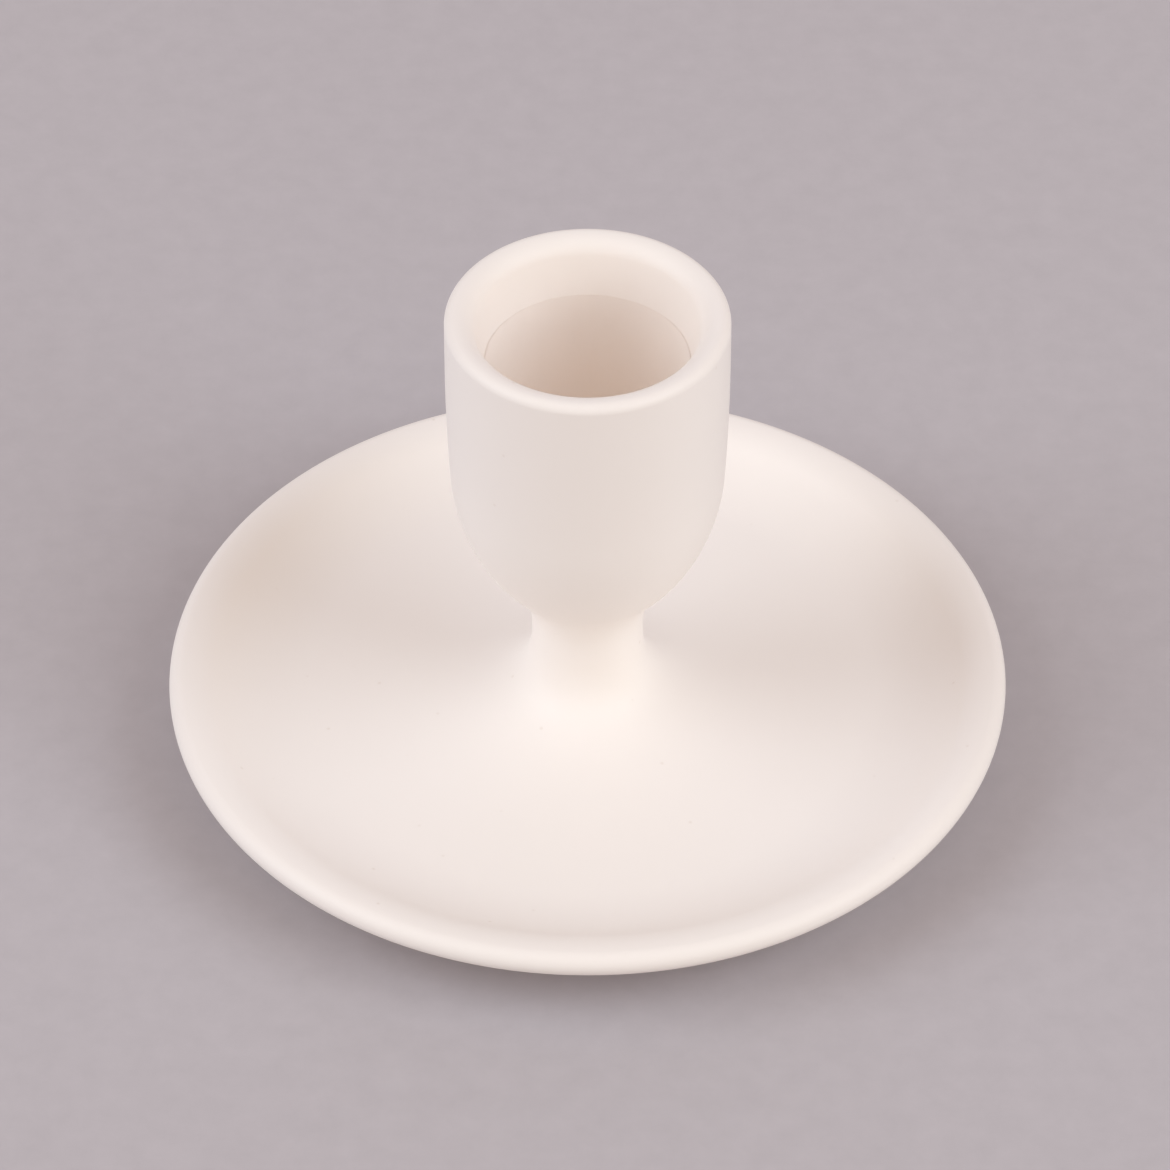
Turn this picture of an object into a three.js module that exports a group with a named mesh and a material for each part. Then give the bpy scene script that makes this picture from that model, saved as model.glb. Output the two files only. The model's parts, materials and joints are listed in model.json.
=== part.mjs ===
// Porcelain taper candle holder.
// A drip dish, a trumpet-footed stem and a candle cup are formed apart and luted together with slip.
// Millimetres and degrees, +Z up, origin on the table under the middle of the foot ring.

import * as THREE from 'three';

// Drip dish, from the table up.
const footRingDiameter = 64;
const footRingWidth = 4;
const footRingHeight = 1.8;
const footRingBevel = 0.4;
const floorThickness = 4; // at the lowest circle of the dish, over the hollow inside the foot ring
const dishDiameter = 100; // over the lip
const lipRounding = 1.6; // outer edge of the lip
const crestRounding = 6.5; // over the top of the lip, towards the hollow
const rimSlope = 36; // where the hollow runs into the lip
const rimSweep = 17; // radius of the hollow between the lowest circle and the lip

// Stem.
const waistDiameter = 13.2;
const waistRise = 11; // from the lowest circle of the dish to the waist
const flareDrop = 6.8; // how far the flare holds the direction of the waist
const flareKnee = 0.8; // how far outside the waist it takes up the level of the lowest circle
const neckLength = 0.3; // straight part between the waist and the cup
const stemFootDiameter = 26; // where the stem ends and the dish carries the flare on
const stemFootEdge = 1.2; // upright edge of the stem's foot, let into the dish
const spigotDiameter = 8;
const spigotHeight = 5;

// Candle cup, from its seat on the neck.
const cupHeight = 46.7;
const wellDiameter = 23.6; // takes a standard taper with room to spare
const wellDepth = 26; // from the rim
const wellFillet = 2;
const cupWall = 4.6; // between the well and the widest circle outside
const neckSweep = 11; // radius of the hollow where the cup springs from the neck
const bottomSweep = 26.5; // radius of the egg-shaped base
const wallSweep = 300; // radius of the slightly bellied wall
const hipTaper = 3; // lean of the wall where it passes into the base
const rimRounding = 1.1; // outer edge of the rim
const mouthRounding = 2.4; // inner edge of the rim
const shoulderDepth = 6.8; // from the rim to the edge where the funnel mouth meets the well

// Luted joints.
const slipThickness = 0.4;
const slipClearance = 0.3; // round the stem's foot and round the spigot

// Facets.
const segmentsAround = 64;
const degreesPerFacet = 12;
const flareFacets = 9; // on each side of the stem's foot

const point = (radius, height) => new THREE.Vector2(radius, height);
const radians = THREE.MathUtils.degToRad;
const degrees = THREE.MathUtils.radToDeg;

// Points along an arc of a profile. Angles run from the outward direction towards +Z.
function arc(centre, radius, from, to) {
  const steps = Math.max(2, Math.ceil(Math.abs(to - from) / degreesPerFacet));
  const curve = new THREE.EllipseCurve(
    centre.x, centre.y, radius, radius, radians(from), radians(to), to < from,
  );
  return curve.getPoints(steps);
}

// Stations up the part.
const lowestHeight = footRingHeight + floorThickness;
const waistHeight = lowestHeight + waistRise;
const neckTop = waistHeight + neckLength;
const cupSeat = neckTop + slipThickness;
const cupTop = cupSeat + cupHeight;
const wellFloor = cupTop - wellDepth;

const waistRadius = waistDiameter / 2;
const footRadius = stemFootDiameter / 2;
const spigotRadius = spigotDiameter / 2;
const wellRadius = wellDiameter / 2;
const cupRadius = wellRadius + cupWall;

// Lip and hollow of the dish: the hollow is level at the lowest circle and meets the lip's crest at its slope.
const crestRadius = dishDiameter / 2 - lipRounding;
const crestHeight = lowestHeight + (rimSweep + crestRounding) * (1 - Math.cos(radians(rimSlope)));
const lowestRadius = crestRadius - (rimSweep + crestRounding) * Math.sin(radians(rimSlope));
const lipCentre = point(crestRadius, crestHeight - lipRounding);
const crestCentre = point(crestRadius, crestHeight - crestRounding);
const rimCentre = point(lowestRadius, lowestHeight + rimSweep);

// One curve flares from the waist to the lowest circle. The stem holds its upper part and the dish the rest.
const flare = new THREE.CubicBezierCurve(
  point(waistRadius, waistHeight),
  point(waistRadius, waistHeight - flareDrop),
  point(waistRadius + flareKnee, lowestHeight),
  point(lowestRadius, lowestHeight),
);

// Share of a curve that lies inside a radius, for a curve that runs outwards.
function shareInside(curve, radius) {
  let inside = 0;
  let outside = 1;
  for (let halving = 0; halving < 40; halving += 1) {
    const middle = (inside + outside) / 2;
    if (curve.getPoint(middle).x < radius) inside = middle;
    else outside = middle;
  }
  return inside;
}

// Points of a curve between two shares of it.
function stretch(curve, from, to, steps) {
  return Array.from({ length: steps + 1 }, (_, i) => curve.getPoint(from + ((to - from) * i) / steps));
}

const footShare = shareInside(flare, footRadius);
const footTop = flare.getPoint(footShare).y;
const stemBottom = footTop - stemFootEdge;
const recessFloor = stemBottom - slipThickness;

// A mesh revolved about +Z from a profile that runs anticlockwise, seen with the axis on the left.
function revolve(name, profile, material) {
  const outline = profile.filter((p, i) => i === 0 || p.distanceTo(profile[i - 1]) > 1e-4);
  const geometry = new THREE.LatheGeometry(outline, segmentsAround);
  geometry.rotateX(Math.PI / 2);
  const mesh = new THREE.Mesh(geometry, material);
  mesh.name = name;
  return mesh;
}

const glazed = () => new THREE.MeshStandardMaterial({ color: '#efe6df', roughness: 0.4, metalness: 0 });
const slip = () => new THREE.MeshStandardMaterial({ color: '#e6dbd2', roughness: 0.8, metalness: 0 });

// The dish: foot ring, underside sweeping up to the lip, rim, floor and the recess for the stem.
function dripDish() {
  const outer = footRingDiameter / 2;
  const inner = outer - footRingWidth;
  const recessRadius = footRadius + slipClearance;
  const lipDrop = lipCentre.y - lipRounding - footRingHeight;
  const underSlope = 2 * Math.atan2(lipDrop, lipCentre.x - outer);
  const underSweep = lipRounding + (lipCentre.x - outer) / Math.sin(underSlope);
  const underCentre = point(outer, footRingHeight + underSweep);
  const lipStart = degrees(underSlope) - 90;
  const recessShare = shareInside(flare, recessRadius);
  const profile = [
    point(0, footRingHeight),
    point(inner, footRingHeight),
    point(inner, footRingBevel),
    point(inner + footRingBevel, 0),
    point(outer - footRingBevel, 0),
    point(outer, footRingBevel),
    ...arc(underCentre, underSweep, -90, lipStart),
    ...arc(lipCentre, lipRounding, lipStart, 0),
    ...arc(lipCentre, lipRounding, 0, 90),
    ...arc(crestCentre, crestRounding, 90, 90 + rimSlope),
    ...arc(rimCentre, rimSweep, rimSlope - 90, -90),
    ...stretch(flare, 1, recessShare, flareFacets),
    point(recessRadius, recessFloor),
    point(0, recessFloor),
  ];
  return revolve('drip_dish', profile, glazed());
}

// The stem: foot with its upright edge, flare, waist, straight neck and spigot.
function stem() {
  const profile = [
    point(0, stemBottom),
    point(footRadius, stemBottom),
    ...stretch(flare, footShare, 0, flareFacets),
    point(waistRadius, neckTop),
    point(spigotRadius, neckTop),
    point(spigotRadius, neckTop + spigotHeight),
    point(0, neckTop + spigotHeight),
  ];
  return revolve('stem', profile, glazed());
}

// The cup: socket, seat, neck hollow, egg-shaped base, bellied wall, rim, funnel mouth and well.
function candleCup() {
  const socketRadius = spigotRadius + slipClearance;
  const socketTop = neckTop + spigotHeight + slipClearance;
  const lean = radians(hipTaper);
  const bottomCentre = point(cupRadius - wallSweep + (wallSweep - bottomSweep) * Math.cos(lean), 0);
  const neckCentre = point(waistRadius + neckSweep, cupSeat);
  const across = neckCentre.x - bottomCentre.x;
  bottomCentre.y = cupSeat + Math.sqrt((bottomSweep + neckSweep) ** 2 - across ** 2);
  const neckEnd = degrees(Math.atan2(bottomCentre.y - neckCentre.y, -across));
  const wallHeight = bottomCentre.y + (wallSweep - bottomSweep) * Math.sin(lean);
  const wallCentre = point(cupRadius - wallSweep, wallHeight);
  const rimHeight = cupTop - rimRounding;
  const wallEnd = Math.min(0, degrees(Math.asin((rimHeight - wallCentre.y) / wallSweep)));
  const rimRadius = wallCentre.x + wallSweep * Math.cos(radians(wallEnd));
  const mouthCentre = point(rimRadius - rimRounding, cupTop - mouthRounding);
  const shoulder = point(wellRadius, cupTop - shoulderDepth);
  const toShoulder = shoulder.clone().sub(mouthCentre);
  const mouthEnd = degrees(toShoulder.angle() - Math.acos(mouthRounding / toShoulder.length()));
  const filletCentre = point(wellRadius - wellFillet, wellFloor + wellFillet);
  const profile = [
    point(0, socketTop),
    point(socketRadius, socketTop),
    point(socketRadius, cupSeat),
    ...arc(neckCentre, neckSweep, 180, neckEnd),
    ...arc(bottomCentre, bottomSweep, neckEnd - 180, -hipTaper),
    ...arc(wallCentre, wallSweep, -hipTaper, wallEnd),
    ...arc(point(rimRadius - rimRounding, rimHeight), rimRounding, 0, 90),
    ...arc(mouthCentre, mouthRounding, 90, mouthEnd),
    shoulder,
    ...arc(filletCentre, wellFillet, 0, -90),
    point(0, wellFloor),
  ];
  return revolve('candle_cup', profile, glazed());
}

// The slip under the stem's foot: a disc the size of the foot.
function lowerSlipJoint() {
  const profile = [
    point(0, recessFloor),
    point(footRadius, recessFloor),
    point(footRadius, stemBottom),
    point(0, stemBottom),
  ];
  return revolve('lower_slip_joint', profile, slip());
}

// The slip between neck and cup: a ring round the spigot, flush with the neck.
function upperSlipJoint() {
  const inner = spigotRadius + slipClearance;
  const profile = [
    point(inner, neckTop),
    point(waistRadius, neckTop),
    point(waistRadius, cupSeat),
    point(inner, cupSeat),
    point(inner, neckTop),
  ];
  return revolve('upper_slip_joint', profile, slip());
}

const holder = new THREE.Group();
holder.add(dripDish(), lowerSlipJoint(), stem(), upperSlipJoint(), candleCup());

export default holder;
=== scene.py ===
"""Porcelain taper candle holder, laid out as a Blender add-on.

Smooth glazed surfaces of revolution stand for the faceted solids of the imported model, in its frame and at
its size. They stand on paper under soft light, before a camera at the photograph's angle.
"""
import json
import math

import bpy
import numpy as np
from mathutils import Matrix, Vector


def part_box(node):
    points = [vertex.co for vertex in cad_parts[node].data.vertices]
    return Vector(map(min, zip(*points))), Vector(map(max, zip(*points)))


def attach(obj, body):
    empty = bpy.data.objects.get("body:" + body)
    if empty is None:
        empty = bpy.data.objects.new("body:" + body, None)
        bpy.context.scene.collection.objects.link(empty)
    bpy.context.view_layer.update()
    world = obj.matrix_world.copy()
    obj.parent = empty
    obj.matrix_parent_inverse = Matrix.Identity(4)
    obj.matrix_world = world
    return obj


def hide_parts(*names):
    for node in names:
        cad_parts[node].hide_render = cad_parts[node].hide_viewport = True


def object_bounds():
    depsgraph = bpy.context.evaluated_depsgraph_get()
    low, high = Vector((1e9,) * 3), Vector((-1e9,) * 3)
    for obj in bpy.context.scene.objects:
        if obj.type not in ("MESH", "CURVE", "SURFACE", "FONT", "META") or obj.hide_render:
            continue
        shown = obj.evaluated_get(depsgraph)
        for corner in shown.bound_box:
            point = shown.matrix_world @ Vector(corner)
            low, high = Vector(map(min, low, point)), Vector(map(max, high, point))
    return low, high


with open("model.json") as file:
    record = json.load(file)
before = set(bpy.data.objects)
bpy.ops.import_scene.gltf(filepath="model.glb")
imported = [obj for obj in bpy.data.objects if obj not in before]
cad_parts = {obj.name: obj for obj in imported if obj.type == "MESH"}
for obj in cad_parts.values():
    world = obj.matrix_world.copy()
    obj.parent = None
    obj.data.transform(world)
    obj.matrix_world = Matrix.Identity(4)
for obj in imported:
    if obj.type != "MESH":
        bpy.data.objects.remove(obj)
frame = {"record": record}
CAD_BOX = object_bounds()

bl_info = {
    "name": "Porcelain taper candle holder",
    "version": (1, 0, 0),
    "blender": (4, 5, 0),
    "location": "3D View > Sidebar > Candle holder",
    "description": "Builds a glazed porcelain holder for a taper candle, with its stage",
    "category": "Add Mesh",
}

MM = 0.001

# Stations that the frame gives.
DISH_LOW, DISH_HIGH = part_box("drip_dish")
STEM_LOW, STEM_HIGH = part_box("stem")
CUP_LOW, CUP_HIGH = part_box("candle_cup")
FOOT_SLIP_LOW, FOOT_SLIP_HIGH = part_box("lower_slip_joint")
NECK_SLIP_LOW, NECK_SLIP_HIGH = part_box("upper_slip_joint")
MOUNTS = {mount["name"]: mount["pos_m"] for mount in frame["record"]["mounts"]}
WELL_FLOOR = MOUNTS["candle_seat"][2]

# Fineness of the surfaces.
SEGMENTS_AROUND = 256
ARC_STEP = math.radians(2.5)
LONGEST_STEP = 0.8 * MM
FLARE_STEPS = 40
CREASE_ANGLE = math.radians(30)

# Points of a profile that are nearer than this to each other or to the axis are taken to touch.
TOUCHING = 1e-7

# Refractive index of porcelain and of its glaze.
PORCELAIN_IOR = 1.5

# Where the values of a noise texture mostly lie.
NOISE_LOW, NOISE_HIGH = 0.3, 0.7

# Width of the camera's sensor in millimetres, the unit that Blender keeps it in.
SENSOR_WIDTH = 36

# Sockets of a colour Mix node.
MIX_FACTOR, MIX_FIRST, MIX_SECOND, MIX_RESULT = 0, 6, 7, 2


def linear(hex_colour):
    """Linear red, green, blue and alpha of an sRGB colour such as #efe6df."""
    srgb = np.array([int(hex_colour[i:i + 2], 16) for i in (1, 3, 5)]) / 255
    light = np.where(srgb <= 0.04045, srgb / 12.92, ((srgb + 0.055) / 1.055) ** 2.4)
    return (*light.tolist(), 1.0)


# Properties

def length(name, description, default):
    """A length in metres."""
    return bpy.props.FloatProperty(
        name=name, description=description, default=default, min=0, precision=5, unit="LENGTH")


def angle(name, description, default):
    """An angle, given in degrees and kept in radians."""
    return bpy.props.FloatProperty(
        name=name, description=description, default=math.radians(default), subtype="ANGLE")


def share(name, description, default):
    """A number from 0 to 1."""
    return bpy.props.FloatProperty(
        name=name, description=description, default=default, min=0, max=1, subtype="FACTOR")


def power(name, description, default):
    """A light's power in watts."""
    return bpy.props.FloatProperty(
        name=name, description=description, default=default, min=0, unit="POWER")


def colour(name, description, default):
    """A colour, given as an sRGB hex value."""
    return bpy.props.FloatVectorProperty(
        name=name, description=description, default=linear(default), size=4, min=0, max=1, subtype="COLOR")


class DishSizes(bpy.types.PropertyGroup):
    """Sizes of the drip dish."""

    diameter: length("Diameter", "Across the lip", DISH_HIGH.x - DISH_LOW.x)
    crest: length("Crest", "Height of the top of the lip above the table", DISH_HIGH.z)
    lip_rounding: length("Lip rounding", "Radius of the lip's outer edge", 1.6 * MM)
    crest_rounding: length("Crest rounding", "Radius over the lip, towards the hollow", 6.5 * MM)
    rim_slope: angle("Rim slope", "Slope where the hollow runs into the lip", 36)
    rim_sweep: length("Rim sweep", "Radius of the hollow inside the lip", 17 * MM)
    foot_diameter: length("Foot ring diameter", "Across the outside of the foot ring", 64 * MM)
    foot_width: length("Foot ring width", "Width of the foot ring", 4 * MM)
    foot_height: length("Foot ring height", "From the table to the underside of the dish", 1.8 * MM)
    foot_rounding: length("Foot ring rounding", "Radius of the foot ring's edges", 0.4 * MM)
    foot_fillet: length("Foot ring fillet", "Radius between foot ring and underside", 0.9 * MM)


class StemSizes(bpy.types.PropertyGroup):
    """Sizes of the stem."""

    foot_diameter: length("Foot diameter", "Where the dish carries the flare on", STEM_HIGH.x - STEM_LOW.x)
    waist_diameter: length("Waist diameter", "Narrowest place", NECK_SLIP_HIGH.x - NECK_SLIP_LOW.x)
    neck_length: length("Neck length", "Straight part above the waist", 0.3 * MM)
    flare_drop: length("Flare drop", "How far the flare holds the waist's direction", 6.8 * MM)
    flare_knee: length("Flare knee", "How far outside the waist the flare turns level", 0.8 * MM)
    spigot_diameter: length("Spigot diameter", "Spigot that goes into the cup", 8 * MM)


class CupSizes(bpy.types.PropertyGroup):
    """Sizes of the candle cup."""

    diameter: length("Diameter", "Widest circle of the cup", CUP_HIGH.x - CUP_LOW.x)
    well_diameter: length("Well diameter", "Across the candle well", 23.6 * MM)
    well_fillet: length("Well fillet", "Radius between the well's wall and its floor", 2 * MM)
    neck_sweep: length("Neck sweep", "Radius of the hollow above the neck", 11 * MM)
    bottom_sweep: length("Bottom sweep", "Radius of the egg-shaped base", 26.5 * MM)
    wall_sweep: length("Wall sweep", "Radius of the slightly bellied wall", 300 * MM)
    hip_taper: angle("Hip taper", "Lean of the wall where it passes into the base", 3)
    rim_rounding: length("Rim rounding", "Radius of the rim's outer edge", 1.1 * MM)
    mouth_rounding: length("Mouth rounding", "Radius of the rim's inner edge", 2.4 * MM)
    shoulder_depth: length("Shoulder depth", "From the rim down to the well's edge", 6.8 * MM)
    shoulder_rounding: length("Shoulder rounding", "Radius of the well's edge", 1 * MM)
    socket_clearance: length("Socket clearance", "Round the spigot", 0.3 * MM)


class GlazeLook(bpy.types.PropertyGroup):
    """Colours and finish of the porcelain."""

    thin: colour("Thin glaze", "Where the glaze is thinner", "#f6f0ea")
    thick: colour("Thick glaze", "Where the glaze is thicker", "#f8f1eb")
    speck: colour("Speck", "Iron specks in the glaze", "#cdbcaa")
    bare: colour("Bare porcelain", "The wiped foot ring", "#e6dacd")
    slip: colour("Slip", "Fired slip in the joints", "#e8ddd2")
    satin: share("Satin", "Roughness of the glaze", 0.52)
    satin_spread: share("Satin spread", "How far the roughness strays between the clouds", 0.03)
    dry: share("Dry", "Roughness of bare porcelain and slip", 0.85)
    cloud_size: length("Cloud size", "Size of the clouds in the glaze", 28 * MM)
    speck_spacing: length("Speck spacing", "Mean distance between specks", 5 * MM)
    speck_size: length("Speck size", "Radius of a speck", 0.3 * MM)
    speck_strength: share("Speck strength", "How much of a speck shows through the glaze", 0.33)
    ripple_size: length("Ripple size", "Spacing of the glaze's faint ripples", 2.2 * MM)
    ripple_height: length("Ripple height", "Height of the glaze's faint ripples", 0.012 * MM)
    wiped_height: length("Wiped height", "How far up the foot ring the glaze is wiped off", 0.5 * MM)
    grain_size: length("Grain size", "Size of the grains in the slip", 0.4 * MM)
    grain_height: length("Grain height", "How far the grains stand out", 0.03 * MM)


class StageLook(bpy.types.PropertyGroup):
    """Camera, paper and lights."""

    lens: length("Lens", f"Focal length on a sensor {SENSOR_WIDTH} mm wide", 197 * MM)
    distance: length("Distance", "From the camera to the point that it aims at", 757 * MM)
    elevation: angle("Elevation", "How far the camera looks down", 42.15)
    aim_height: length("Aim height", "Height of the point that the camera aims at", 22.8 * MM)
    aim_side: bpy.props.FloatProperty(
        name="Aim side", description="How far that point lies beside the axis", default=-0.3 * MM,
        precision=5, unit="LENGTH")
    paper: colour("Paper", "Seamless paper under the holder", "#c4bec1")
    paper_size: length("Paper size", "Width of the paper", 12)
    paper_gap: length("Paper gap", "Keeps the paper clear of the foot ring's face", 0.02 * MM)
    paper_roughness: share("Paper roughness", "How matt the paper is", 0.9)
    paper_shine: share("Paper shine", "Strength of the paper's faint reflection", 0.2)
    fibre_size: length("Fibre size", "Spacing of the paper's fibres", 4 * MM)
    fibre_shade: share("Fibre shade", "Share of the light that the darkest fibres give back", 0.86)
    bounces: bpy.props.IntProperty(
        name="Bounces", description="How often light passes between surfaces", default=16, min=1)
    room_light: share("Room light", "Even light from all round", 0.505)
    room_tint: colour("Room tint", "Colour of the room's walls in that light", "#ffe9dd")
    softbox_tint: colour("Softbox tint", "Colour of the two softboxes at the sides", "#e8f4ff")
    fill_tint: colour("Fill tint", "Colour of the softbox beside the camera", "#fffceb")
    window_tint: colour("Window tint", "Colour of the softbox behind the holder", "#c1d8ff")
    softbox_distance: length("Softbox distance", "From each softbox to the holder", 2.1)
    right_softbox: power("Right softbox", "Square softbox high on the right", 20.9)
    left_softbox: power("Left softbox", "Tall softbox on the left", 27.2)
    front_softbox: power("Front softbox", "Low softbox beside the camera", 7.1)
    back_softbox: power("Back softbox", "Wide, weak softbox behind the holder", 3.9)


# Each softbox: the names of its power and tint, the compass angle and the height from which it shines, in
# degrees, and its width and height in metres. The angle runs from the right, +X, through the back, +Y.
SOFTBOXES = (
    ("right_softbox", "softbox_tint", 334, 36, 1.5, 1.5),
    ("left_softbox", "softbox_tint", 192, 29, 1.5, 2.3),
    ("front_softbox", "fill_tint", 300, 12, 2.4, 1.0),
    ("back_softbox", "window_tint", 90, 30, 2.4, 1.2),
)


# Profiles, in metres from the axis and above the table

def arc(centre, radius, start, end):
    """Points of an arc: centre plus radius times the cosine and sine of angles from start to end."""
    sweep = abs(end - start)
    steps = math.ceil(max(2, sweep / ARC_STEP, sweep * radius / LONGEST_STEP))
    angles = np.linspace(start, end, steps + 1)
    return np.asarray(centre) + radius * np.column_stack((np.cos(angles), np.sin(angles)))


def bezier(corners, shares):
    """Points of a cubic curve: its four corners, weighted by the Bernstein polynomials of each share."""
    weights = np.column_stack((
        (1 - shares) ** 3,
        3 * shares * (1 - shares) ** 2,
        3 * shares ** 2 * (1 - shares),
        shares ** 3,
    ))
    return weights @ corners


def share_at_radius(corners, radius):
    """Share of the way along a cubic curve at which it reaches a radius: the root of its cubic in radius."""
    r0, r1, r2, r3 = corners[:, 0]
    roots = np.roots((r3 - 3 * r2 + 3 * r1 - r0, 3 * (r2 - 2 * r1 + r0), 3 * (r1 - r0), r0 - radius))
    shares = roots[np.isreal(roots)].real
    shares = shares[(shares >= 0) & (shares <= 1)]
    if not shares.size:
        raise ValueError("the flare doesn't reach the stem's foot: make the foot smaller or the dish wider")
    return shares.max()


def rim_places(dish):
    """Centres of the lip's edge, its crest and the hollow inside it, and the lowest circle of the dish.

    Edge and crest touch at the top of the lip. The hollow's arc is level at the lowest circle and touches
    the crest's at the rim's slope, so their centres lie the sum of both radii apart along its normal.
    """
    top = np.array((dish.diameter / 2 - dish.lip_rounding, dish.crest))
    lip_centre = top - (0, dish.lip_rounding)
    crest_centre = top - (0, dish.crest_rounding)
    reach = dish.rim_sweep + dish.crest_rounding
    rim_centre = crest_centre + reach * np.array((-math.sin(dish.rim_slope), math.cos(dish.rim_slope)))
    lowest = rim_centre - (0, dish.rim_sweep)
    return lip_centre, crest_centre, rim_centre, lowest


def flare_corners(dish, stem):
    """Corners of the cubic that flares from the upright waist to the level lowest circle of the dish."""
    waist = np.array((stem.waist_diameter / 2, NECK_SLIP_LOW.z - stem.neck_length))
    lowest = rim_places(dish)[-1]
    knee = (waist[0] + stem.flare_knee, lowest[1])
    return np.array((waist, waist - (0, stem.flare_drop), knee, lowest))


def dish_profile(dish, stem):
    """The dish from the axis underneath, over the foot ring, underside, lip, rim and flare, to its recess.

    The underside is an arc that is level beside the foot ring and touches the lip's circle. The recess
    closes on the stem's foot, because the glaze runs over the joint.
    """
    lip = dish.lip_rounding
    lip_centre, crest_centre, rim_centre, _ = rim_places(dish)
    outer = dish.foot_diameter / 2
    inner = outer - dish.foot_width
    height, edge, fillet = dish.foot_height, dish.foot_rounding, dish.foot_fillet
    start = outer + fillet
    slope = 2 * math.atan2(lip_centre[1] - lip - height, lip_centre[0] - start)
    sweep = lip + (lip_centre[0] - start) / math.sin(slope)
    up, down = math.pi / 2, -math.pi / 2
    corners = flare_corners(dish, stem)
    foot_share = share_at_radius(corners, stem.foot_diameter / 2)
    return np.concatenate((
        [(0, height)],
        arc((inner - fillet, height - fillet), fillet, up, 0),
        arc((inner + edge, edge), edge, math.pi, math.pi - down),
        arc((outer - edge, edge), edge, down, 0),
        arc((start, height - fillet), fillet, math.pi, up),
        arc((start, height + sweep), sweep, down, slope + down),
        arc(lip_centre, lip, slope + down, up),
        arc(crest_centre, dish.crest_rounding, up, up + dish.rim_slope),
        arc(rim_centre, dish.rim_sweep, dish.rim_slope + down, down),
        bezier(corners, np.linspace(1, foot_share, FLARE_STEPS)),
        [(stem.foot_diameter / 2, FOOT_SLIP_LOW.z), (0, FOOT_SLIP_LOW.z)],
    ))


def stem_profile(dish, stem):
    """The stem from the axis under its foot, up the flare, waist and neck, to the top of its spigot."""
    corners = flare_corners(dish, stem)
    foot_share = share_at_radius(corners, stem.foot_diameter / 2)
    waist, spigot = stem.waist_diameter / 2, stem.spigot_diameter / 2
    return np.concatenate((
        [(0, STEM_LOW.z), (stem.foot_diameter / 2, STEM_LOW.z)],
        bezier(corners, np.linspace(foot_share, 0, FLARE_STEPS)),
        [(waist, NECK_SLIP_LOW.z), (spigot, NECK_SLIP_LOW.z), (spigot, STEM_HIGH.z), (0, STEM_HIGH.z)],
    ))


def cup_outside(cup, stem):
    """The cup's outside: hollow at the neck, egg-shaped base and bellied wall, arcs that touch one another.

    Two arcs that touch from inside have centres as far apart as their radii differ, and from outside as far
    apart as the radii's sum, which places each centre in turn.
    """
    neck_centre = np.array((stem.waist_diameter / 2 + cup.neck_sweep, CUP_LOW.z))
    wall_side = cup.diameter / 2 - cup.wall_sweep
    lead = cup.wall_sweep - cup.bottom_sweep
    bottom_side = wall_side + lead * math.cos(cup.hip_taper)
    across = neck_centre[0] - bottom_side
    rise = math.sqrt((cup.bottom_sweep + cup.neck_sweep) ** 2 - across ** 2)
    bottom_centre = (bottom_side, CUP_LOW.z + rise)
    wall_centre = (wall_side, bottom_centre[1] + lead * math.sin(cup.hip_taper))
    neck_end = math.atan2(rise, -across)
    rim_start = CUP_HIGH.z - cup.rim_rounding
    wall_end = min(0, math.asin((rim_start - wall_centre[1]) / cup.wall_sweep))
    return np.concatenate((
        arc(neck_centre, cup.neck_sweep, math.pi, neck_end),
        arc(bottom_centre, cup.bottom_sweep, neck_end - math.pi, -cup.hip_taper),
        arc(wall_centre, cup.wall_sweep, -cup.hip_taper, wall_end),
    ))


def cup_mouth(cup, rim_radius):
    """The cup's rim and mouth: outer and inner rounding, a funnel that touches the inner one, and its edge.

    The funnel's line touches the inner rounding and ends at the well's edge, where an arc turns it upright.
    """
    outer_centre = (rim_radius - cup.rim_rounding, CUP_HIGH.z - cup.rim_rounding)
    mouth_centre = np.array((rim_radius - cup.rim_rounding, CUP_HIGH.z - cup.mouth_rounding))
    edge = np.array((cup.well_diameter / 2, CUP_HIGH.z - cup.shoulder_depth))
    across, drop = edge - mouth_centre
    reach = math.hypot(across, drop)
    funnel = math.atan2(drop, across) - math.acos(cup.mouth_rounding / reach) + 2 * math.pi
    lean = funnel - math.pi
    setback = cup.shoulder_rounding * math.tan(lean / 2)
    shoulder_centre = edge + (cup.shoulder_rounding, -setback)
    return np.concatenate((
        arc(outer_centre, cup.rim_rounding, 0, math.pi / 2),
        arc(mouth_centre, cup.mouth_rounding, math.pi / 2, funnel),
        arc(shoulder_centre, cup.shoulder_rounding, math.pi - lean, math.pi),
    ))


def cup_profile(cup, stem):
    """The cup from the top of its socket, round its outside and over the rim, down the well to its floor."""
    outside = cup_outside(cup, stem)
    socket = stem.spigot_diameter / 2 + cup.socket_clearance
    socket_top = STEM_HIGH.z + cup.socket_clearance
    fillet_centre = (cup.well_diameter / 2 - cup.well_fillet, WELL_FLOOR + cup.well_fillet)
    return np.concatenate((
        [(0, socket_top), (socket, socket_top), (socket, CUP_LOW.z)],
        outside,
        cup_mouth(cup, outside[-1, 0]),
        arc(fillet_centre, cup.well_fillet, 0, -math.pi / 2),
        [(0, WELL_FLOOR)],
    ))


# Meshes

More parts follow.
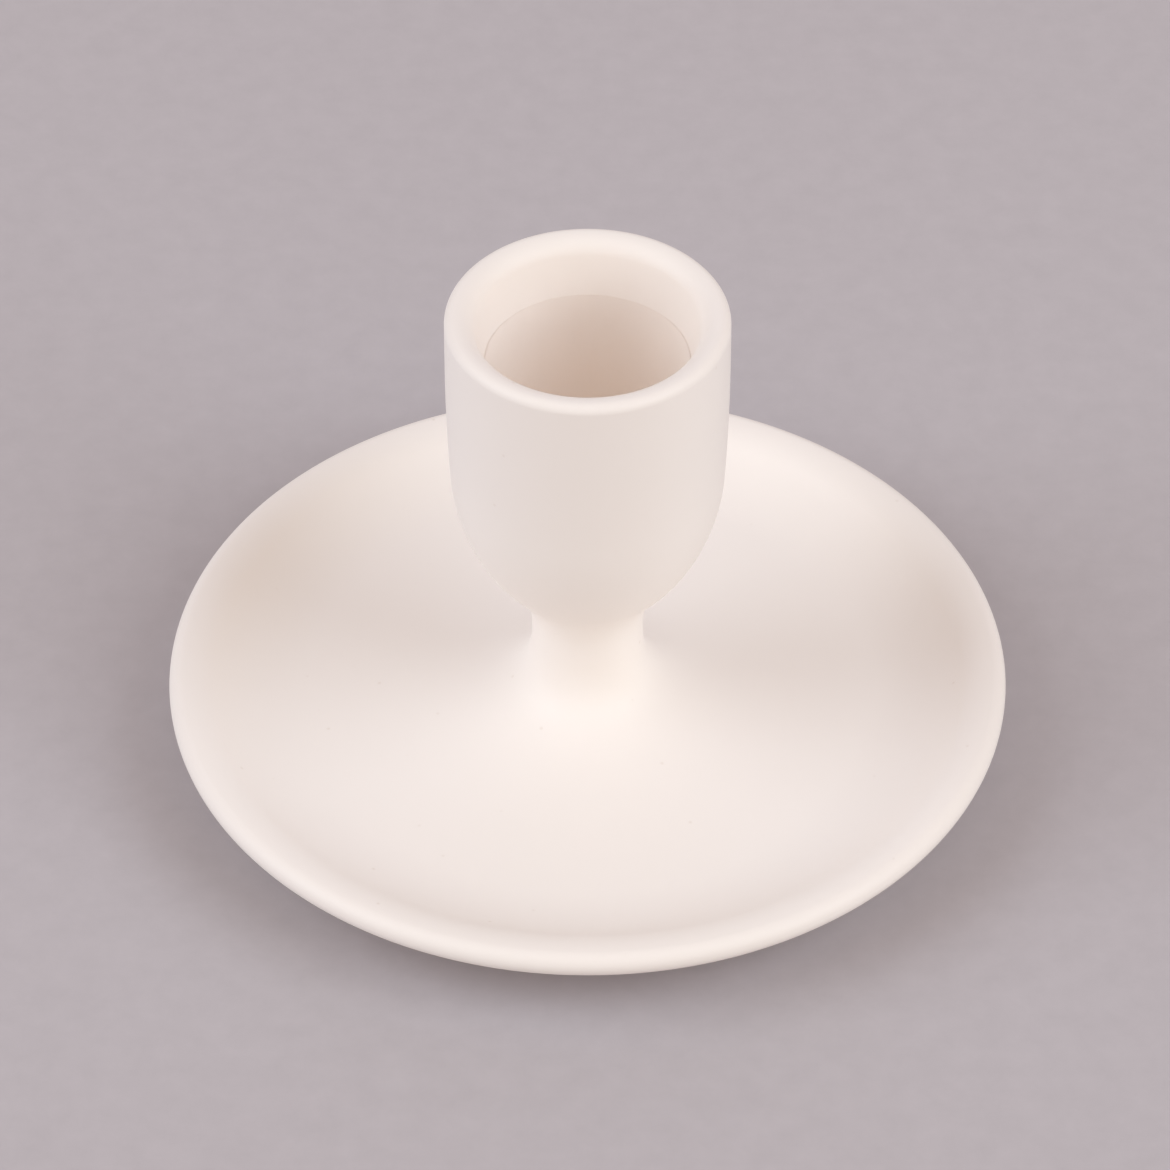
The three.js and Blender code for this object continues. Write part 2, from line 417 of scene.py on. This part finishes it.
def revolve(name, profile):
    """A closed surface of revolution: each point (r, z) carried round the axis, x = r cos a and y = r sin a.

    The profile runs anticlockwise with the axis on its left. Points on the axis become single poles, and a
    profile that starts away from the axis closes on itself.
    """
    steps = np.hypot(*np.diff(profile, axis=0).T)
    profile = profile[np.concatenate(([True], steps > TOUCHING))]
    on_axis = profile[:, 0] < TOUCHING
    radii, heights = profile[~on_axis].T
    turn = np.linspace(0, 2 * math.pi, SEGMENTS_AROUND, endpoint=False)
    x = np.outer(radii, np.cos(turn))
    y = np.outer(radii, np.sin(turn))
    z = np.repeat(heights[:, None], SEGMENTS_AROUND, axis=1)
    points = np.stack((x, y, z), axis=2).reshape(-1, 3)
    ring = np.arange(len(points)).reshape(len(radii), SEGMENTS_AROUND)
    ahead = np.roll(ring, -1, axis=1)
    if on_axis.any():
        below, above = slice(None, -1), slice(1, None)
        poles = np.column_stack((np.zeros((2, 2)), profile[[0, -1], 1]))
        bottom, top = np.full((2, SEGMENTS_AROUND), len(points)) + [[0], [1]]
        points = np.concatenate((points, poles))
        caps = np.concatenate((
            np.column_stack((bottom, ahead[0], ring[0])),
            np.column_stack((top, ring[-1], ahead[-1])),
        )).tolist()
        quads = np.stack((ring[below], ahead[below], ahead[above], ring[above]), axis=2)
    else:
        caps = []
        quads = np.stack((ring, ahead, np.roll(ahead, -1, axis=0), np.roll(ring, -1, axis=0)), axis=2)
    mesh = bpy.data.meshes.new(name)
    mesh.from_pydata(points.tolist(), [], quads.reshape(-1, 4).tolist() + caps)
    mesh.shade_smooth()
    mesh.set_sharp_from_angle(angle=CREASE_ANGLE)
    piece = bpy.data.objects.new(name, mesh)
    bpy.context.scene.collection.objects.link(piece)
    return piece


def seat(piece, node, material):
    """Lets a piece stand for its solid, on the one body of the part, with its finish."""
    piece.data.materials.append(material)
    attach(piece, "root")
    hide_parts(node)


# Materials

def add(tree, kind, inputs, **settings):
    """Adds a node with its settings, and sets each input or links it to an output."""
    node = tree.nodes.new(kind)
    for name, value in settings.items():
        setattr(node, name, value)
    for socket, value in inputs.items():
        if isinstance(value, bpy.types.NodeSocket):
            tree.links.new(value, node.inputs[socket])
        else:
            node.inputs[socket].default_value = value
    return node


def new_material(name):
    """An empty node material and its Principled shader."""
    material = bpy.data.materials.get(name) or bpy.data.materials.new(name)
    material.use_nodes = True
    material.node_tree.nodes.clear()
    shader = material.node_tree.nodes.new("ShaderNodeBsdfPrincipled")
    output = material.node_tree.nodes.new("ShaderNodeOutputMaterial")
    material.node_tree.links.new(shader.outputs["BSDF"], output.inputs["Surface"])
    return material, material.node_tree, shader


def satin_glazed_porcelain(look):
    """Slip-cast porcelain under a warm white satin glaze.

    The eye sees soft, wide highlights, faint clouds where the glaze is thicker, very shallow ripples and a
    few tiny iron specks. The foot ring was wiped before firing and is dry and a little darker.
    """
    material, tree, shader = new_material("satin_glazed_porcelain")
    place = add(tree, "ShaderNodeTexCoord", {}).outputs["Object"]
    clouds = add(tree, "ShaderNodeTexNoise", {"Vector": place, "Scale": 1 / look.cloud_size, "Detail": 3.0})
    glaze = add(tree, "ShaderNodeMix", {
        MIX_FACTOR: clouds.outputs["Fac"], MIX_FIRST: look.thin, MIX_SECOND: look.thick}, data_type="RGBA")
    cells = add(tree, "ShaderNodeTexVoronoi", {"Vector": place, "Scale": 1 / look.speck_spacing})
    reach = look.speck_size / look.speck_spacing
    specks = add(tree, "ShaderNodeMapRange", {
        "Value": cells.outputs["Distance"], "From Min": reach, "From Max": 0.0,
        "To Max": look.speck_strength})
    specked = add(tree, "ShaderNodeMix", {
        MIX_FACTOR: specks.outputs["Result"], MIX_FIRST: glaze.outputs[MIX_RESULT], MIX_SECOND: look.speck},
        data_type="RGBA")
    height = add(tree, "ShaderNodeSeparateXYZ", {"Vector": place}).outputs["Z"]
    wiped = add(tree, "ShaderNodeMapRange", {
        "Value": height, "From Min": look.wiped_height, "From Max": 0.0}).outputs["Result"]
    base = add(tree, "ShaderNodeMix", {
        MIX_FACTOR: wiped, MIX_FIRST: specked.outputs[MIX_RESULT], MIX_SECOND: look.bare}, data_type="RGBA")
    ripples = add(tree, "ShaderNodeTexNoise", {"Vector": place, "Scale": 1 / look.ripple_size, "Detail": 2.0})
    gloss = add(tree, "ShaderNodeMapRange", {
        "Value": clouds.outputs["Fac"], "From Min": NOISE_LOW, "From Max": NOISE_HIGH,
        "To Min": look.satin + look.satin_spread, "To Max": look.satin - look.satin_spread})
    roughness = add(tree, "ShaderNodeMapRange", {
        "Value": wiped, "To Min": gloss.outputs["Result"], "To Max": look.dry})
    bump = add(tree, "ShaderNodeBump", {
        "Height": ripples.outputs["Fac"], "Distance": look.ripple_height, "Strength": 1.0})
    tree.links.new(base.outputs[MIX_RESULT], shader.inputs["Base Color"])
    tree.links.new(roughness.outputs["Result"], shader.inputs["Roughness"])
    tree.links.new(bump.outputs["Normal"], shader.inputs["Normal"])
    shader.inputs["IOR"].default_value = PORCELAIN_IOR
    return material


def fired_slip(look):
    """Casting slip fired in the joints: the same clay, unglazed, dry and grainy to the eye."""
    material, tree, shader = new_material("fired_slip")
    place = add(tree, "ShaderNodeTexCoord", {}).outputs["Object"]
    grain = add(tree, "ShaderNodeTexNoise", {"Vector": place, "Scale": 1 / look.grain_size, "Detail": 4.0})
    base = add(tree, "ShaderNodeMix", {
        MIX_FACTOR: grain.outputs["Fac"], MIX_FIRST: look.slip, MIX_SECOND: look.bare}, data_type="RGBA")
    bump = add(tree, "ShaderNodeBump", {
        "Height": grain.outputs["Fac"], "Distance": look.grain_height, "Strength": 1.0})
    tree.links.new(base.outputs[MIX_RESULT], shader.inputs["Base Color"])
    tree.links.new(bump.outputs["Normal"], shader.inputs["Normal"])
    shader.inputs["Roughness"].default_value = look.dry
    shader.inputs["IOR"].default_value = PORCELAIN_IOR
    return material


def seamless_paper(stage):
    """Matt grey studio paper: no highlight, only a faint unevenness of its fibres."""
    material, tree, shader = new_material("seamless_paper")
    place = add(tree, "ShaderNodeTexCoord", {}).outputs["Object"]
    fibres = add(tree, "ShaderNodeTexNoise", {
        "Vector": place, "Scale": 1 / stage.fibre_size, "Detail": 6.0, "Roughness": 0.65})
    darker = (*(stage.fibre_shade * part for part in stage.paper[:3]), 1.0)
    base = add(tree, "ShaderNodeMix", {
        MIX_FACTOR: fibres.outputs["Fac"], MIX_FIRST: darker, MIX_SECOND: stage.paper}, data_type="RGBA")
    tree.links.new(base.outputs[MIX_RESULT], shader.inputs["Base Color"])
    shader.inputs["Roughness"].default_value = stage.paper_roughness
    shader.inputs["Specular IOR Level"].default_value = stage.paper_shine
    return material


# Operators

class CANDLEHOLDER_OT_drip_dish(bpy.types.Operator):
    """Make the drip dish with its lip, foot ring and flare"""

    bl_idname = "candleholder.drip_dish"
    bl_label = "Drip dish"

    def execute(self, context):
        scene = context.scene
        piece = revolve("dish_body", dish_profile(scene.candleholder_dish, scene.candleholder_stem))
        seat(piece, "drip_dish", satin_glazed_porcelain(scene.candleholder_glaze))
        return {"FINISHED"}


class CANDLEHOLDER_OT_stem(bpy.types.Operator):
    """Make the stem with its flared foot, waist and spigot"""

    bl_idname = "candleholder.stem"
    bl_label = "Stem"

    def execute(self, context):
        scene = context.scene
        piece = revolve("stem_body", stem_profile(scene.candleholder_dish, scene.candleholder_stem))
        seat(piece, "stem", satin_glazed_porcelain(scene.candleholder_glaze))
        return {"FINISHED"}


class CANDLEHOLDER_OT_candle_cup(bpy.types.Operator):
    """Make the candle cup with its rim, mouth and well"""

    bl_idname = "candleholder.candle_cup"
    bl_label = "Candle cup"

    def execute(self, context):
        scene = context.scene
        piece = revolve("cup_body", cup_profile(scene.candleholder_cup, scene.candleholder_stem))
        seat(piece, "candle_cup", satin_glazed_porcelain(scene.candleholder_glaze))
        return {"FINISHED"}


class CANDLEHOLDER_OT_slip_joints(bpy.types.Operator):
    """Make the layers of slip under the stem's foot and round its spigot"""

    bl_idname = "candleholder.slip_joints"
    bl_label = "Slip joints"

    def execute(self, context):
        scene = context.scene
        foot = scene.candleholder_stem.foot_diameter / 2
        neck = scene.candleholder_stem.waist_diameter / 2
        hole = scene.candleholder_stem.spigot_diameter / 2 + scene.candleholder_cup.socket_clearance
        under, over = FOOT_SLIP_LOW.z, FOOT_SLIP_HIGH.z
        disc = revolve("foot_slip", np.array(((0, under), (foot, under), (foot, over), (0, over))))
        seat(disc, "lower_slip_joint", fired_slip(scene.candleholder_glaze))
        under, over = NECK_SLIP_LOW.z, NECK_SLIP_HIGH.z
        ring = revolve("neck_slip", np.array(((hole, under), (neck, under), (neck, over), (hole, over))))
        seat(ring, "upper_slip_joint", satin_glazed_porcelain(scene.candleholder_glaze))
        return {"FINISHED"}


class CANDLEHOLDER_OT_stage(bpy.types.Operator):
    """Lay the paper, and set the lights and the camera"""

    bl_idname = "candleholder.stage"
    bl_label = "Stage"

    def execute(self, context):
        stage = context.scene.candleholder_stage
        self.lay_paper(context, stage)
        self.set_lights(context, stage)
        self.set_camera(context, stage)
        # White walls pass the light to and fro many times before the well is as bright as it looks.
        context.scene.cycles.max_bounces = stage.bounces
        context.scene.cycles.diffuse_bounces = stage.bounces
        return {"FINISHED"}

    def lay_paper(self, context, stage):
        """A flat square of paper under the foot ring."""
        half, down = stage.paper_size / 2, -stage.paper_gap
        mesh = bpy.data.meshes.new("paper")
        corners = [(-half, -half, down), (half, -half, down), (half, half, down), (-half, half, down)]
        mesh.from_pydata(corners, [], [(0, 1, 2, 3)])
        mesh.materials.append(seamless_paper(stage))
        paper = bpy.data.objects.new("paper", mesh)
        context.scene.collection.objects.link(paper)

    def set_lights(self, context, stage):
        """Softboxes that face the middle of the holder, and an even light from all round."""
        middle = Vector((0, 0, (CAD_BOX[0].z + CAD_BOX[1].z) / 2))
        for name, tint, compass, climb, width, height in SOFTBOXES:
            compass, climb = math.radians(compass), math.radians(climb)
            level = math.cos(climb)
            out = Vector((level * math.cos(compass), level * math.sin(compass), math.sin(climb)))
            lamp = bpy.data.lights.new(name, "AREA")
            lamp.shape = "RECTANGLE"
            lamp.size = width
            lamp.size_y = height
            lamp.color = getattr(stage, tint)[:3]
            lamp.energy = getattr(stage, name)
            softbox = bpy.data.objects.new(name, lamp)
            softbox.location = middle + out * stage.softbox_distance
            softbox.rotation_euler = (-out).to_track_quat("-Z", "Y").to_euler()
            context.scene.collection.objects.link(softbox)
        world = bpy.data.worlds.new("room")
        world.use_nodes = True
        world.node_tree.nodes["Background"].inputs["Color"].default_value = stage.room_tint
        world.node_tree.nodes["Background"].inputs["Strength"].default_value = stage.room_light
        context.scene.world = world
        context.scene.view_settings.view_transform = "Standard"

    def set_camera(self, context, stage):
        """A long lens that looks down at a point on the axis."""
        lens = bpy.data.cameras.new("camera")
        lens.sensor_width = SENSOR_WIDTH
        lens.lens = stage.lens / MM
        camera = bpy.data.objects.new("camera", lens)
        back = Vector((0, -math.cos(stage.elevation), math.sin(stage.elevation)))
        camera.location = Vector((stage.aim_side, 0, stage.aim_height)) + back * stage.distance
        camera.rotation_euler = (math.pi / 2 - stage.elevation, 0, 0)
        context.scene.collection.objects.link(camera)
        context.scene.camera = camera


class CANDLEHOLDER_PT_panel(bpy.types.Panel):
    """Buttons and sizes of the candle holder"""

    bl_idname = "CANDLEHOLDER_PT_panel"
    bl_label = "Candle holder"
    bl_space_type = "VIEW_3D"
    bl_region_type = "UI"
    bl_category = "Candle holder"

    def draw(self, context):
        for operator in OPERATORS:
            self.layout.operator(operator.bl_idname)
        for name, group in PROPERTY_GROUPS.items():
            box = self.layout.box()
            box.label(text=group.bl_rna.description)
            for prop in group.__annotations__:
                box.prop(getattr(context.scene, name), prop)


PROPERTY_GROUPS = {
    "candleholder_dish": DishSizes,
    "candleholder_stem": StemSizes,
    "candleholder_cup": CupSizes,
    "candleholder_glaze": GlazeLook,
    "candleholder_stage": StageLook,
}
OPERATORS = (
    CANDLEHOLDER_OT_drip_dish,
    CANDLEHOLDER_OT_slip_joints,
    CANDLEHOLDER_OT_stem,
    CANDLEHOLDER_OT_candle_cup,
    CANDLEHOLDER_OT_stage,
)


def register():
    """Registers the classes and gives the scene its properties."""
    for name, group in PROPERTY_GROUPS.items():
        bpy.utils.register_class(group)
        setattr(bpy.types.Scene, name, bpy.props.PointerProperty(type=group))
    for kind in (*OPERATORS, CANDLEHOLDER_PT_panel):
        bpy.utils.register_class(kind)


def unregister():
    """Takes the properties and the classes away again."""
    for kind in reversed((*OPERATORS, CANDLEHOLDER_PT_panel)):
        bpy.utils.unregister_class(kind)
    for name, group in reversed(PROPERTY_GROUPS.items()):
        delattr(bpy.types.Scene, name)
        bpy.utils.unregister_class(group)


def main():
    """Makes the holder and its stage."""
    register()
    bpy.ops.candleholder.drip_dish()
    bpy.ops.candleholder.slip_joints()
    bpy.ops.candleholder.stem()
    bpy.ops.candleholder.candle_cup()
    bpy.ops.candleholder.stage()


if __name__ == "__main__":
    main()
